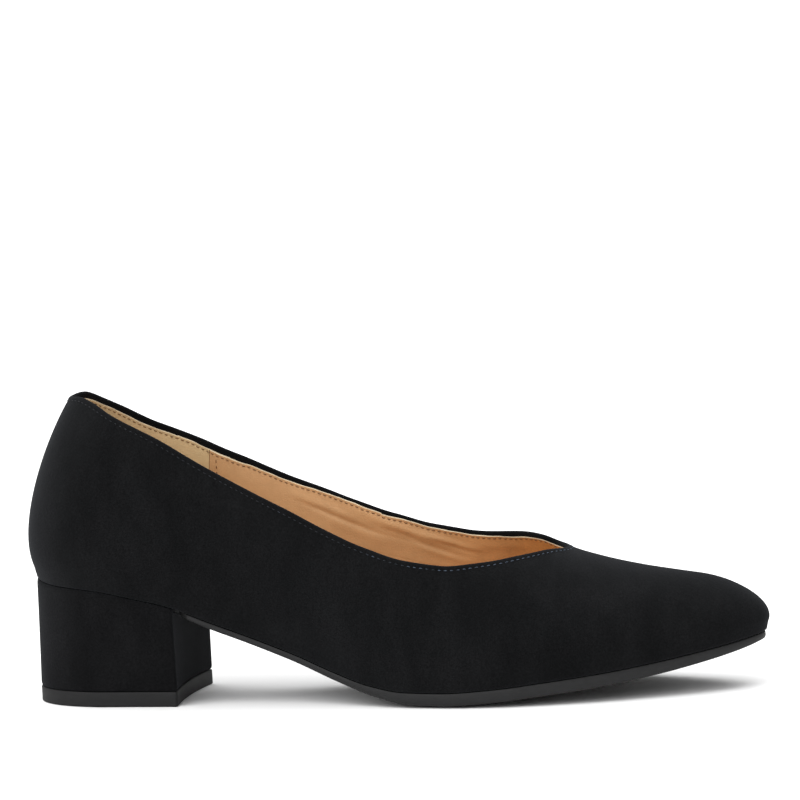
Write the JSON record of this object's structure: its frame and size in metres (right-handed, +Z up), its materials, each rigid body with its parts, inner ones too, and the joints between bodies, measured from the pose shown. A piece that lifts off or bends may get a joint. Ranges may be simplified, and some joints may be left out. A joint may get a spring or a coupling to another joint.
{
  "type": "block heel pump",
  "caption": "Low-cut slip-on women's shoe in black suede with a pointed almond toe, V throat, thin rubber sole and covered low block heel.",
  "frame": {"origin": "centre of the heel's tread on the floor: halfway along the heel from its back to the corners of its breast, on the shoe's axis", "axes": "+X towards the toe along the floor, +Z up, +Y towards the wearer's left, which is the inner side of this right shoe"},
  "size_m": [0.2561, 0.0752, 0.1062],
  "materials": {
    "upper": "black suede nap",
    "insole": "smooth tan lining leather",
    "outsole": "dark grey, matte",
    "heel_block": "black suede nap over a hard block",
    "top_piece": "dark grey, matte"
  },
  "bodies": {
    "root": {"upper": "upper", "insole": "insole", "outsole": "outsole", "heel_block": "heel_block", "top_piece": "top_piece"}
  },
  "joints": []
}
